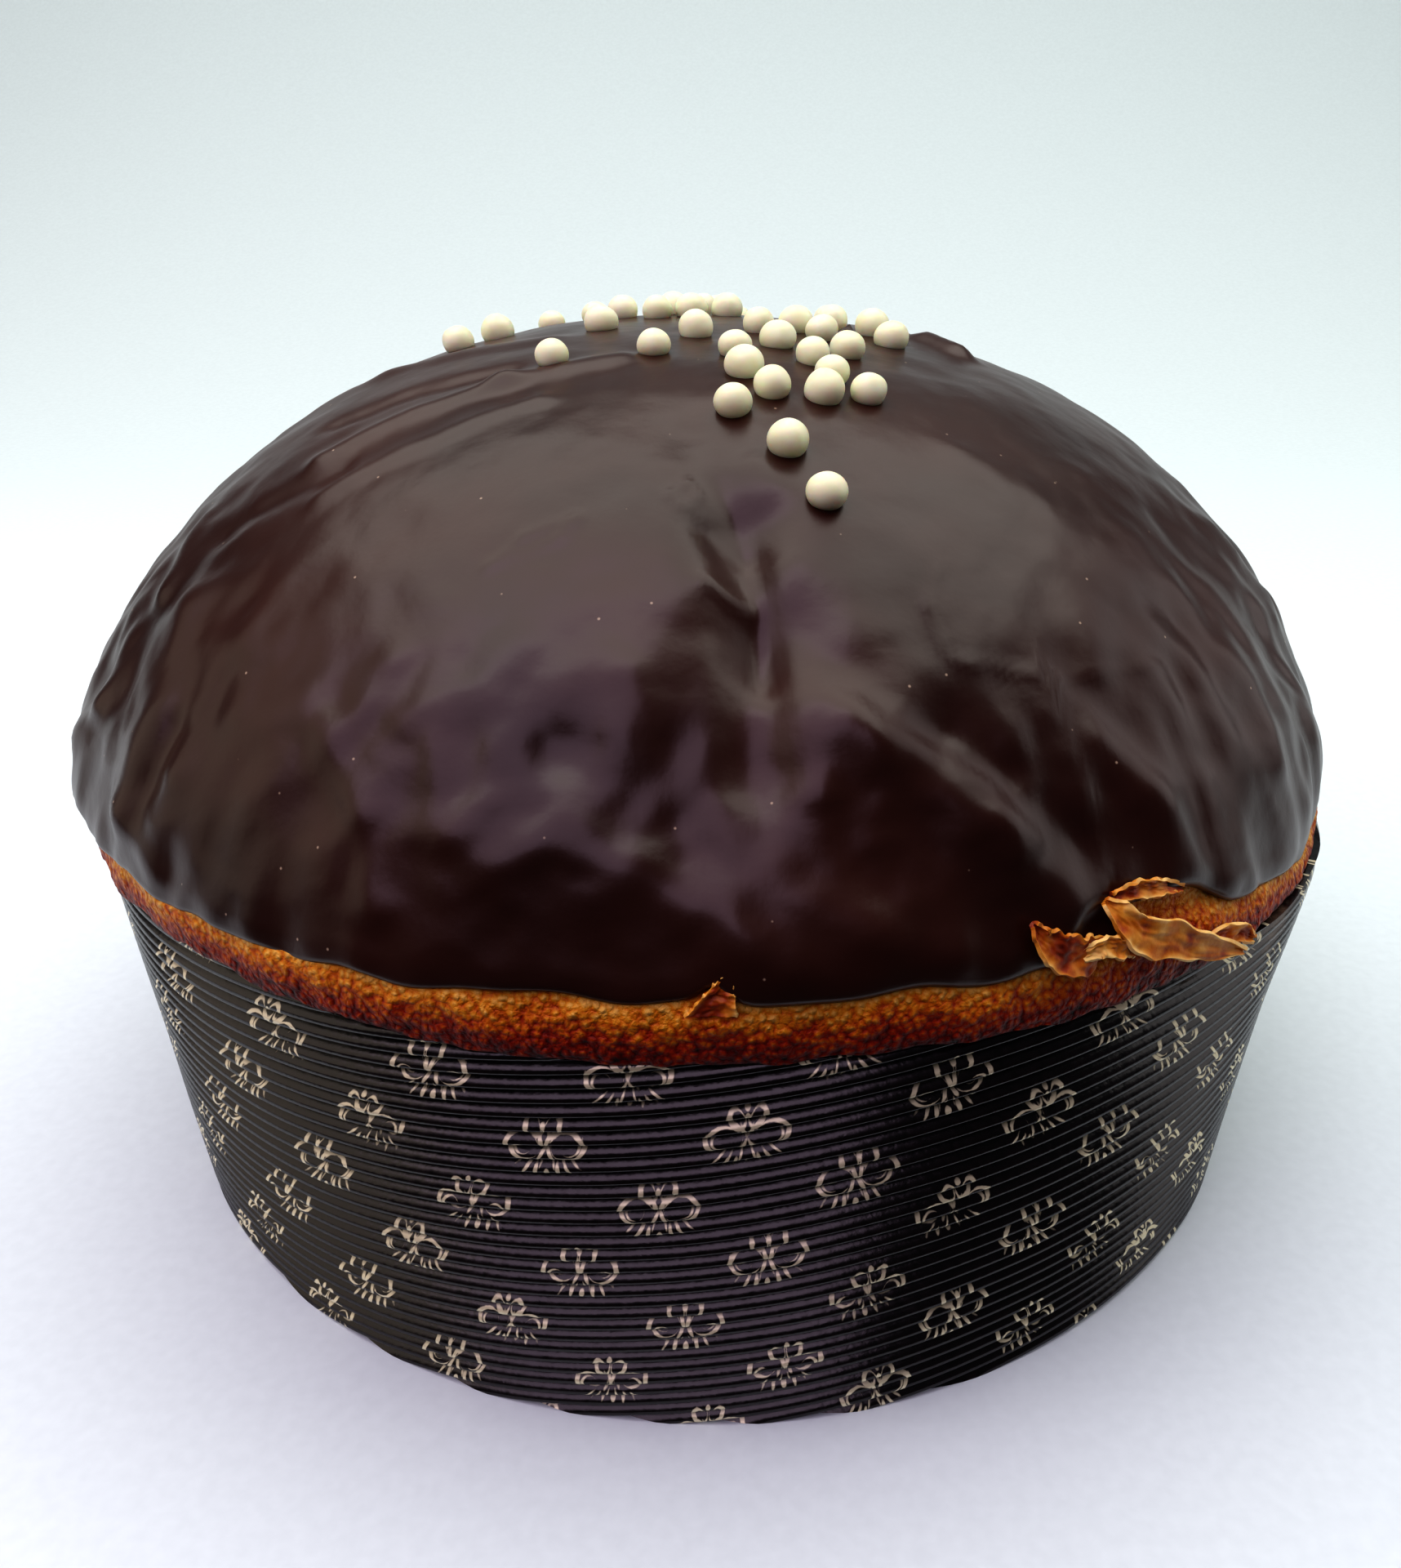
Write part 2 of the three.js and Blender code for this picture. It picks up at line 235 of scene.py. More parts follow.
# The inner face stays clear of the grooves: how far its middle and its foot are drawn in.
MIDDLE_SHRINK = 0.962
MIDDLE_DROP = 0.030
FOOT_SHRINK = 0.968
BASE_SHRINK = 0.97
DENT_DEPTH = 0.25
DENT_SIZE = 24.0
PRINT_RADIUS = 106.0
PRINT_SAG = 3.2
PRINT_SAG_WIDTH = 25
MM = 0.001


def bell(value, middle, wide):
    return np.exp(-(((value - middle) / wide) ** 2))


def smooth_step(value, low, high):
    part = np.clip((value - low) / (high - low), 0.0, 1.0)
    return part * part * (3 - 2 * part)


def turned(azimuth, radius, height, shift=0.0):
    """A point on a ring. Azimuth 0 is the front, and it grows to the right."""
    angle = np.radians(azimuth)
    return np.stack(
        [shift + radius * np.sin(angle), -radius * np.cos(angle), height + 0 * radius], axis=-1
    )


def rim_height(azimuth):
    height = MOULD_HEIGHT + RIM_WAVE * np.sin(np.radians(7 * azimuth + 40))
    for place, width, drop in RIM_DIPS:
        height = height - drop * bell(azimuth, place, width)
    return height


def wall_radius(azimuth, height):
    pulled = bell(azimuth, PULL_AZIMUTH, PULL_WIDTH) * smooth_step(
        height, PULL_FROM_HEIGHT, MOULD_HEIGHT
    )
    straight = BASE_RADIUS + (RIM_RADIUS - BASE_RADIUS) * height / MOULD_HEIGHT
    return straight + PULL_OUT * pulled


def rib_climb(azimuth):
    angle = np.radians(azimuth)
    return (
        RIB_SLANT[0] * np.sin(angle)
        + RIB_SLANT[1] * np.sin(3 * angle)
        - RIB_SLANT[2] * (1 - np.cos(angle))
    )


def ripple(points, size, seed):
    """Smooth noise of about -1 to 1 at points in mm, with lumps of the given size in mm."""
    offset = Vector((seed * 17.3, seed * 5.1, seed * 9.7))
    return np.array([noise.noise(Vector(point) / size + offset) for point in points])


def add_grid(name, across, up):
    """A flat grid to be wrapped, with the given number of squares each way."""
    bpy.ops.object.select_all(action="DESELECT")
    bpy.ops.mesh.primitive_grid_add(x_subdivisions=across, y_subdivisions=up, size=1.0)
    piece = bpy.context.object
    piece.name = name
    piece.data.name = name
    return piece


def flat_places(piece):
    """Each vertex's place in a flat grid, as two lists that run from 0 to 1."""
    flat = np.empty(len(piece.data.vertices) * 3)
    piece.data.vertices.foreach_get("co", flat)
    flat = flat.reshape(-1, 3) + 0.5
    return flat[:, 0], flat[:, 1]


def move_to(piece, points):
    """Puts the vertices at the given points, in mm."""
    piece.data.vertices.foreach_set("co", (np.asarray(points) * MM).ravel())
    piece.data.update()


def only(piece):
    bpy.ops.object.select_all(action="DESELECT")
    piece.select_set(True)
    bpy.context.view_layer.objects.active = piece


def merge_doubles(piece, distance=2e-5):
    only(piece)
    bpy.ops.object.mode_set(mode="EDIT")
    bpy.ops.mesh.select_all(action="SELECT")
    bpy.ops.mesh.remove_doubles(threshold=distance)
    bpy.ops.mesh.select_all(action="DESELECT")
    bpy.ops.object.mode_set(mode="OBJECT")


def select_open_edges(piece, test):
    """In edit mode, selects the open edges whose middle passes the test."""
    bpy.ops.mesh.select_mode(type="EDGE")
    bpy.ops.mesh.select_all(action="DESELECT")
    shell = bmesh.from_edit_mesh(piece.data)
    for edge in shell.edges:
        middle = (edge.verts[0].co + edge.verts[1].co) / 2
        edge.select_set(edge.is_boundary and test(middle))
    bmesh.update_edit_mesh(piece.data)


def draw_in(factor, height=None, drop=0.0):
    """Extrudes the selected ring and scales it towards the axis, and moves or levels it."""
    bpy.ops.mesh.extrude_region_move(TRANSFORM_OT_translate={"value": (0.0, 0.0, -drop)})
    if height is None:
        bpy.ops.transform.resize(value=(factor, factor, 1.0), center_override=(0, 0, 0))
    else:
        bpy.ops.transform.resize(value=(factor, factor, 0.0), center_override=(0, 0, height))


mould = add_grid("paper_mould_ribbed", MOULD_COLUMNS, RIB_COUNT * len(RIB_ROWS))
around, up = flat_places(mould)
azimuth = 360 * around - 180
row = np.rint(up * RIB_COUNT * len(RIB_ROWS)).astype(int)
row_in_rib = row % len(RIB_ROWS)
along_rib = RIB_PITCH * (RIB_FIRST + row // len(RIB_ROWS) + RIB_ROWS[row_in_rib])
height = np.clip(along_rib + rib_climb(azimuth), 0.0, rim_height(azimuth))
along_rib = height - rib_climb(azimuth)
from_groove = np.abs(along_rib / RIB_PITCH - np.rint(along_rib / RIB_PITCH))
groove = RIB_DEPTH * (RIB_LEVEL - np.sin(np.pi * from_groove) ** RIB_ROUNDNESS)
dents = DENT_DEPTH * ripple(turned(azimuth, BASE_RADIUS, height), DENT_SIZE, 3)
move_to(mould, turned(azimuth, wall_radius(azimuth, height) - groove + dents, height))

# The print's own map, in mm along the wall and in mm up from the same rib.
print_map = mould.data.uv_layers.active
print_map.name = "print_mm"
corners = np.empty(len(mould.data.loops), dtype=int)
mould.data.loops.foreach_get("vertex_index", corners)
print_rise = along_rib - PRINT_SAG * (1 - bell(azimuth, 0, PRINT_SAG_WIDTH))
mapped = np.stack([np.radians(azimuth) * PRINT_RADIUS, print_rise], axis=-1)[corners]
print_map.data.foreach_set("uv", mapped.ravel())
rib_place = mould.data.attributes.new("mm_along_ribs", "FLOAT", "POINT")
rib_place.data.foreach_set("value", along_rib)
merge_doubles(mould)

bpy.ops.object.mode_set(mode="EDIT")
select_open_edges(mould, lambda middle: middle.z > 0.03)
draw_in(1 - PAPER / RIM_RADIUS)
draw_in(MIDDLE_SHRINK, drop=MIDDLE_DROP)
draw_in(FOOT_SHRINK, height=PAPER * MM)
bpy.ops.mesh.edge_face_add()
select_open_edges(mould, lambda middle: True)
draw_in(BASE_SHRINK)
bpy.ops.mesh.edge_face_add()
bpy.ops.mesh.select_all(action="SELECT")
bpy.ops.mesh.normals_make_consistent(inside=False)
bpy.ops.object.mode_set(mode="OBJECT")
bpy.ops.object.shade_smooth_by_angle(angle=math.radians(60))

# Dark brown greaseproof paper, waxed by the bake: satin, with dull gold ink on its ribs.
baking_paper, tree = new_material("dark_corrugated_baking_paper")
map_node = add_node(tree, "ShaderNodeUVMap", {"uv_map": "print_mm"})
place_in_print = add_node(tree, "ShaderNodeSeparateXYZ", inputs={0: map_node.outputs["UV"]})

# The flowers stand in rows that follow the ribs, each row moved along from the last.
FLOWERS_ROUND = 26
FLOWER_APART = 2 * math.pi * PRINT_RADIUS / FLOWERS_ROUND
ROW_APART = 11.6
ROW_SHIFT = 11.23
FIRST_ROW = 68.2
FIRST_FLOWER = 15.27
PETALS = [
    # across, up, half length, half height, turn in degrees, line width and how it grows
    # towards the outer end; a line width of 0 is a filled spot
    (2.85, 0.65, 2.35, 1.95, 8.0, 0.14, 0.15),
    (3.2, 0.1, 1.2, 0.85, 10.0, 0.05, 0.1),
    (1.2, 3.75, 1.0, 1.55, -20.0, 0.18, 0.12),
    (3.5, -2.3, 0.15, 1.1, 56.0, 0.0, 0.0),
    (2.6, -2.9, 0.22, 1.2, 38.0, 0.0, 0.0),
    (1.5, -3.3, 0.3, 0.95, 12.0, 0.0, 0.0),
    (0.75, -2.3, 0.16, 0.9, 20.0, 0.0, 0.0),
    (0.0, 5.3, 0.4, 0.4, 0.0, 0.0, 0.0),
    (0.0, -3.6, 0.42, 0.55, 0.0, 0.0, 0.0),
    (0.0, 4.2, 0.38, 0.5, 0.0, 0.0, 0.0),
    (0.4, 1.5, 0.3, 1.3, -18.0, 0.0, 0.0),
    (1.0, 2.4, 0.2, 1.0, -52.0, 0.0, 0.0),
    (0.6, -0.7, 0.26, 1.1, 32.0, 0.0, 0.0),
    (5.1, 1.0, 0.3, 1.1, 6.0, 0.0, 0.0),
    (2.15, 4.4, 0.26, 0.75, -10.0, 0.0, 0.0),
]
# The print as sums: each has a name, an operation, and earlier names or numbers.
PRINT_SUMS = [
    ("row place", "MULTIPLY_ADD", "up", -1 / ROW_APART, FIRST_ROW / ROW_APART),
    ("row", "ROUND", "row place"),
    ("row rise", "MULTIPLY_ADD", "row", ROW_APART, -FIRST_ROW),
    ("flower up", "ADD", "up", "row rise"),
    ("column place", "MULTIPLY_ADD", "across", 1 / FLOWER_APART, -FIRST_FLOWER / FLOWER_APART),
    ("moved along", "MULTIPLY_ADD", "row", ROW_SHIFT / FLOWER_APART, "column place"),
    ("column", "ROUND", "moved along"),
    ("from column", "SUBTRACT", "moved along", "column"),
    ("flower across", "MULTIPLY", "from column", FLOWER_APART),
    ("mirrored", "ABSOLUTE", "flower across"),
    ("gold", "ADD", -1.0, 0.0),
]
for across, rise, half_length, half_height, turn, line, growth in PETALS:
    cosine = math.cos(math.radians(turn))
    sine = math.sin(math.radians(turn))
    size = min(half_length, half_height)
    PRINT_SUMS += [
        ("beside", "SUBTRACT", "mirrored", across),
        ("above", "SUBTRACT", "flower up", rise),
        ("long share", "MULTIPLY", "beside", cosine / half_length),
        ("long way", "MULTIPLY_ADD", "above", sine / half_length, "long share"),
        ("short share", "MULTIPLY", "beside", -sine / half_height),
        ("short way", "MULTIPLY_ADD", "above", cosine / half_height, "short share"),
        ("long square", "MULTIPLY", "long way", "long way"),
        ("squares", "MULTIPLY_ADD", "short way", "short way", "long square"),
        ("reach", "SQRT", "squares"),
        ("from outline", "SUBTRACT", 1.0, "reach"),
    ]
    if line:
        PRINT_SUMS += [
            ("off line", "ABSOLUTE", "from outline"),
            ("width", "MULTIPLY_ADD", "long way", growth, line),
            ("ink", "MULTIPLY_ADD", "off line", -size, "width"),
        ]
    else:
        PRINT_SUMS.append(("ink", "MULTIPLY", "from outline", size))
    PRINT_SUMS.append(("gold", "MAXIMUM", "gold", "ink"))

# Ink breaks up where the paper is rough. Towards each groove the ink fades to half and the paper
# darkens to near black: painted shade in the grooves.
object_place = add_node(tree, "ShaderNodeTexCoord")
fibres = add_node(
    tree, "ShaderNodeTexNoise",
    inputs={"Vector": object_place.outputs["Object"], "Scale": 1 / (1.1 * MM), "Detail": 3.0},
)
rib_up = add_node(tree, "ShaderNodeAttribute", {"attribute_name": "mm_along_ribs"})
PRINT_SUMS += [
    ("to groove", "PINGPONG", "along ribs", RIB_PITCH / 2),
    ("crest start", "SUBTRACT", "to groove", 0.1),
    ("crest share", "DIVIDE", "crest start", 0.45),
    ("crest low", "MAXIMUM", "crest share", 0.0),
    ("crest", "MINIMUM", "crest low", 1.0),
    ("roughened", "MULTIPLY_ADD", "fibres", 0.3, "gold"),
    ("ink start", "SUBTRACT", "roughened", 0.12),
    ("ink share", "DIVIDE", "ink start", 0.1),
    ("ink low", "MAXIMUM", "ink share", 0.0),
    ("ink full", "MINIMUM", "ink low", 1.0),
    ("ink groove shade", "MULTIPLY_ADD", "crest", 0.5, 0.5),
    ("inked", "MULTIPLY", "ink full", "ink groove shade"),
    ("ink metal", "MULTIPLY", "inked", 0.2),
    ("paper roughness", "MULTIPLY_ADD", "fibres", 0.16, 0.14),
    ("smear share", "MULTIPLY_ADD", "from smear", -0.11 / MM, 1.15),
    ("smear noise", "MULTIPLY_ADD", "crumbs", 1.6, -1.25),
    ("smear", "ADD", "smear share", "smear noise"),
    ("smear low", "MAXIMUM", "smear", 0.0),
    ("smear part", "MINIMUM", "smear low", 0.8),
]
# Crumbs of crust and dried glaze stick to the rim where the loaf has torn.
SMEAR_PLACE = (82 * MM, -71 * MM, 66 * MM)
crumb_noise = add_node(
    tree, "ShaderNodeTexNoise",
    inputs={"Vector": object_place.outputs["Object"], "Scale": 1 / (3.2 * MM), "Detail": 4.0},
)
from_smear = add_node(
    tree, "ShaderNodeVectorMath", {"operation": "DISTANCE"},
    {0: object_place.outputs["Object"], 1: SMEAR_PLACE},
)
sums = {
    "from smear": from_smear.outputs["Value"],
    "crumbs": crumb_noise.outputs["Fac"],
    "across": place_in_print.outputs["X"],
    "up": place_in_print.outputs["Y"],
    "along ribs": rib_up.outputs["Fac"],
    "fibres": fibres.outputs["Fac"],
}
for name, operation, *terms in PRINT_SUMS:
    inputs = {place: sums.get(term, term) for place, term in enumerate(terms)}
    sums[name] = add_node(tree, "ShaderNodeMath", {"operation": operation}, inputs).outputs[0]
paper_tint = add_node(
    tree, "ShaderNodeValToRGB", inputs={"Fac": fibres.outputs["Fac"]},
    stops=[(0.3, "0d0607"), (0.7, "1a0e12")],
)
# Painted shade: the paper colour goes to near black, 040202, towards each groove.
painted_groove_shade = add_node(
    tree, "ShaderNodeMix", {"data_type": "RGBA"},
    {"Factor": sums["crest"], "A": linear("040202"), "B": paper_tint.outputs["Color"]},
)
printed = add_node(
    tree, "ShaderNodeMix", {"data_type": "RGBA"},
    {"Factor": sums["inked"], "A": painted_groove_shade.outputs["Result"], "B": linear("e2dcbc")},
)
smeared = add_node(
    tree, "ShaderNodeMix", {"data_type": "RGBA"},
    {"Factor": sums["smear part"], "A": printed.outputs["Result"], "B": linear("6e5c4a")},
)
paper_bump = add_node(
    tree, "ShaderNodeBump",
    inputs={"Height": fibres.outputs["Fac"], "Strength": 0.35, "Distance": 0.15 * MM},
)
surface = add_node(tree, "ShaderNodeBsdfPrincipled", inputs={
    "Base Color": smeared.outputs["Result"],
    "Metallic": sums["ink metal"],
    "Roughness": sums["paper roughness"],
    "Normal": paper_bump.outputs["Normal"],
    "IOR": 1.6,
})
add_node(tree, "ShaderNodeOutputMaterial", inputs={"Surface": surface.outputs["BSDF"]})
mould.data.materials.append(baking_paper)
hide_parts("paper_mould")
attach(mould, "root")


# Loaf
# An uncut sweet yeast loaf, whose crust shows as a browned band between mould and glaze.
# It was baked in the mould, and its crust tore open at the right as the dome rose.
DOME_RADIUS = 109.8
DOME_WIDEST_Z = 74.6
DOME_TOP_Z = 141.3
DOME_ACROSS_POWER = 2.48
DOME_UP_POWER = 1.49
DOME_SHIFT_X = -1.8
GLAZE = 1.9
GAP = 0.35
# Where the glaze ends: its middle height, bumps of azimuth, width and rise, and waves of
# rise, number round the dome and start.
EDGE_HEIGHT = 78.3
EDGE_BUMPS = [
    (-60, 16, -3), (66, 17, -8), (26.6, 1.8, 1.2), (1.0, 1.2, 1.8), (-9, 9, 2.2),
]
EDGE_WAVES = [(0.6, 5, 20), (0.4, 11, 0), (0.35, 29, 70), (0.22, 47, 130)]
EDGE_AT_TEAR = 5.4
LOAF_COLUMNS = 1000
FOOT_ROWS = 3
BAND_ROWS = 46
CAP_ROWS = 28
# The band starts below the rim and ends behind the glaze, with its rows crowded at the rim.
BAND_BELOW_RIM = 5
BAND_BEHIND_GLAZE = 1.2
ROW_MARKS = [0.0, 0.12, 0.3, 1.0]
ROW_SPREAD = [0.0, 0.48, 0.62, 1.0]
# How far the crust stands out past the mould's inside, at heights over the rim.
BULGE_HEIGHTS = [-5.0, -0.3, 0.25, 0.7, 1.6, 3.7, 5.8, 7.5, 9.3]
BULGES = [-0.4, -0.4, 0.9, 2.2, 2.5, 2.5, 2.2, 1.6, 0.2]
# How far the crust hangs over the rim, and how much that varies, over a length in mm.
HANG = 0.9
HANG_SPREAD = 1.1
HANG_LENGTH = 6.0
# Lumps of the crust: height, size and seed.
CRUST_LUMPS = [(0.45, 8.0, 5), (0.3, 3.0, 6), (0.22, 1.5, 7), (0.1, 0.8, 8)]
# How far the hidden sides, foot and cap keep clear of the mould and the glaze.
WAIST_HEIGHT = 35.0
WAIST_CLEARANCE = 4.4
FOOT_CLEARANCE = 1.6
CAP_CLEARANCE = 0.2
CAP_DEPTH = 2.0

FOLDS = [
    # from azimuth and height, to azimuth and height, width, rise, all in mm and degrees
    ((0, 134), (5, 126), 6, -1.6),
    ((5, 126), (6, 116), 6, -2.4),
    ((6, 116), (3, 104), 7, -1.6),
    ((-9, 105), (-5, 101), 6, -1.2),
    ((9, 107), (21, 95), 5, 1.3),
    ((21, 95), (25, 84), 5, 1.2),
    ((-54, 109), (-48, 84), 5, 1.4),
    ((-66, 83), (-66, 83), 7, 0.8),
    ((66, 84), (66, 84), 8, 0.9),
    ((62, 116), (65, 99), 9, -1.6),
    ((3, 84), (15, 83), 6, 1.0),
    ((1, 116), (-1, 95), 5, -1.5),
]


def dome_outline(part):
    """Radius and height of the dome: part 0 is its top, 1 its widest ring, and more is lower."""
    angle = (1 - np.clip(part, 0, 1)) * np.pi / 2
    radius = DOME_RADIUS * np.clip(np.cos(angle), 0, 1) ** (2 / DOME_ACROSS_POWER)
    height = DOME_WIDEST_Z + (DOME_TOP_Z - DOME_WIDEST_Z) * np.clip(np.sin(angle), 0, 1) ** (
        2 / DOME_UP_POWER
    )
    below = np.maximum(part - 1, 0)
    return radius - 0.5 * below, height - 20 * below


def part_at_height(height):
    rise = np.clip((height - DOME_WIDEST_Z) / (DOME_TOP_Z - DOME_WIDEST_Z), 0, 1)
    above = 1 - np.arcsin(rise ** (DOME_UP_POWER / 2)) / (np.pi / 2)
    return np.where(height < DOME_WIDEST_Z, 1 + (DOME_WIDEST_Z - height) / 20, above)


def dome_point(azimuth, part, inset):
    """A point at the given depth under the dome's plain outline."""
    radius, height = dome_outline(part)
    lower = dome_outline(part + 0.004)
    upper = dome_outline(np.maximum(part - 0.004, 0))
    out = lower[0] - upper[0]
    down = lower[1] - upper[1]
    length = np.hypot(out, down)
    return turned(
        azimuth, radius + inset * down / length, height - inset * out / length, DOME_SHIFT_X
    )


def fold_end(azimuth, height):
    return dome_point(np.array(float(azimuth)), part_at_height(np.array(float(height))), 0.0)


def relief(points, folds):
    """How far the glaze stands proud of its plain outline at the given points, in mm."""
    total = np.zeros(len(points))
    for begin, end, wide, rise in folds:
        start = fold_end(*begin)
        along = fold_end(*end) - start
        share = (points - start) @ along / max(along @ along, 1e-9)
        nearest = start + np.clip(share, 0, 1)[:, None] * along
        total += rise * bell(np.linalg.norm(points - nearest, axis=1), 0, wide)
    return total


def glaze_edge(azimuth):
    """Height of the glaze's lower edge."""
    over_tear = smooth_step(azimuth, 28.4, 30.2) * (1 - smooth_step(azimuth, 33.5, 43))
    height = EDGE_HEIGHT + EDGE_AT_TEAR * over_tear
    for place, width, rise in EDGE_BUMPS:
        height = height + rise * bell(azimuth, place, width)
    for rise, times, start in EDGE_WAVES:
        height = height + rise * np.sin(np.radians(times * azimuth + start))
    return height


loaf = add_grid("loaf", LOAF_COLUMNS, FOOT_ROWS + BAND_ROWS + CAP_ROWS)
around, up = flat_places(loaf)
azimuth = 360 * around - 180
row = np.rint(up * (FOOT_ROWS + BAND_ROWS + CAP_ROWS)).astype(int)
rim = rim_height(azimuth)
edge = glaze_edge(azimuth)
band_high = edge + BAND_BEHIND_GLAZE
up_band = np.clip((row - FOOT_ROWS) / BAND_ROWS, 0, 1)
full_share = (band_high - rim) / (edge - rim)
from_rim = 2 * (np.interp(up_band, ROW_MARKS, ROW_SPREAD) - 0.5)
share = from_rim * np.where(from_rim < 0, BAND_BELOW_RIM / (edge - rim), full_share)
height = rim + share * (edge - rim)
inner_wall = BASE_RADIUS + (RIM_RADIUS - BASE_RADIUS) * rim / MOULD_HEIGHT - PAPER - GAP
rise = height - rim
bulge = np.interp(rise, BULGE_HEIGHTS, BULGES) - 0.4 * smooth_step(share, 0.8, 1.05)
# The crust puffs over the rim and hangs a little below it, but not where the rim is pulled.
rim_line = turned(azimuth, RIM_RADIUS, 0 * height)
at_pull = smooth_step(azimuth, 38, 50) * smooth_step(-azimuth, -100, -80)
hang = (HANG + HANG_SPREAD * ripple(rim_line, HANG_LENGTH, 4)) * (1 - at_pull)
height = height - hang * bell(rise, 1.1, 0.75) + 0.35 * bell(rise, 0.1, 0.3)
band = turned(azimuth, inner_wall + bulge, height, DOME_SHIFT_X * np.clip(share, 0, 1))
lumps = sum(high * ripple(band, size, seed) for high, size, seed in CRUST_LUMPS)
shown = smooth_step(rise, 0.2, 1.4) * (1 - 0.75 * smooth_step(share, 0.7, 1.0))
band += turned(azimuth, lumps * shown, 0 * height)
cap_share = np.clip((row - FOOT_ROWS - BAND_ROWS) / CAP_ROWS, 0, 1)
cap_part = part_at_height(band_high) * (1 - cap_share)
cap = dome_point(azimuth, cap_part, GLAZE + GAP)
cap_depth = GLAZE + GAP + CAP_CLEARANCE + CAP_DEPTH * smooth_step(cap_share, 0, 0.12)
cap = dome_point(azimuth, cap_part, cap_depth - relief(cap, FOLDS))
foot_radius = np.where(row == 0, 0.0, BASE_RADIUS - PAPER - GAP - FOOT_CLEARANCE)
foot_height = np.full(len(row), PAPER + GAP)
foot = turned(azimuth, foot_radius, foot_height)
waist = turned(azimuth, inner_wall - WAIST_CLEARANCE, WAIST_HEIGHT)
points = np.where((row <= 1)[:, None], foot, band)
points = np.where((row == 2)[:, None], waist, points)
points = np.where((row > FOOT_ROWS + BAND_ROWS)[:, None], cap, points)
move_to(loaf, points)

# How high each point lies between rim and glaze, for the crust's colours and its painted shade at
# the rim.
crust_level_for_colour_and_shade = loaf.data.attributes.new("between_rim_and_glaze", "FLOAT", "POINT")
crust_level_for_colour_and_shade.data.foreach_set("value", np.clip(share, -1, 2))
merge_doubles(loaf)
bpy.ops.object.shade_smooth()


def crust_colours_and_rim_shade(tree):
    """Crust colours, red-brown at the rim to amber under the glaze, with painted shade darkening to
    near black at the rim and painted light on the band's top.
    """
    place = add_node(tree, "ShaderNodeTexCoord").outputs["Object"]
    level = add_node(tree, "ShaderNodeAttribute", {"attribute_name": "between_rim_and_glaze"})
    patches = add_node(
        tree, "ShaderNodeTexNoise", inputs={"Vector": place, "Scale": 1 / (7 * MM), "Detail": 4.0}
    )
    beads = add_node(
        tree, "ShaderNodeTexVoronoi", {"feature": "F1"},
        {"Vector": place, "Scale": 1 / (1.0 * MM), "Randomness": 1.0},
    )
    crumbs = add_node(
        tree, "ShaderNodeTexNoise", inputs={"Vector": place, "Scale": 1 / (0.7 * MM), "Detail": 3.0}
    )
    shade = add_node(
        tree, "ShaderNodeMath", {"operation": "MULTIPLY_ADD"},
        {0: level.outputs["Fac"], 1: 0.8, 2: -0.05},
    ).outputs[0]
    # The bead term makes each bead's middle lighter and the gaps between beads darker: partly the
    # crumb's own grain, partly painted glint and painted shade.
    for source, share in (
        (patches.outputs["Fac"], 0.5),
        (crumbs.outputs["Fac"], 0.5),
        (beads.outputs["Distance"], -0.5),
    ):
        shade = add_node(
            tree, "ShaderNodeMath", {"operation": "MULTIPLY_ADD"}, {0: source, 1: share, 2: shade}
        ).outputs[0]
    # Painted shade: the ramp runs to near black at the rim, where the crust curves in under its
    # bulge against the paper.
    colour = add_node(
        tree, "ShaderNodeValToRGB", inputs={"Fac": shade},
        stops=[
            (0.06, "1a0000"), (0.26, "640501"), (0.46, "982c02"), (0.66, "c0680a"), (0.84, "d49026"),
            (1.0, "e2b058"),
        ],
    )
    heights = add_node(
        tree, "ShaderNodeMath", {"operation": "MULTIPLY_ADD"},
        {0: beads.outputs["Distance"], 1: -0.8, 2: crumbs.outputs["Fac"]},
    )
    bump = add_node(
        tree, "ShaderNodeBump",
        inputs={"Height": heights.outputs[0], "Strength": 1.0, "Distance": 0.5 * MM},
    )
    return colour.outputs["Color"], bump.outputs["Normal"]


# Baked egg-rich crust: dry but buttery, so its beads of crumb glint a little.
baked_crust, tree = new_material("browned_crust")
crust_colour, crust_normal = crust_colours_and_rim_shade(tree)
surface = add_node(tree, "ShaderNodeBsdfPrincipled", inputs={
    "Base Color": crust_colour,
    "Normal": crust_normal,
    "Roughness": 0.46,
    "IOR": 1.32,
    "Subsurface Weight": 0.05,
    "Subsurface Scale": 1.2 * MM,
})
add_node(tree, "ShaderNodeOutputMaterial", inputs={"Surface": surface.outputs["BSDF"]})
loaf.data.materials.append(baked_crust)
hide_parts("bread")
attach(loaf, "root")


# Torn crust
# Thin leaves of crust at the tear, and one small peak at the front.
# They are part of the loaf, lifted off it when the dome split in the oven.
LEAF_ROWS_ALONG = 60
LEAF_ROWS_ACROSS = 20
LEAF_THICKNESS = 0.5
LEAF_RADIUS = 109.0
LEAF_LENGTH = 20
LEAF_WIDTH = 3
LOOK_AHEAD = 0.05
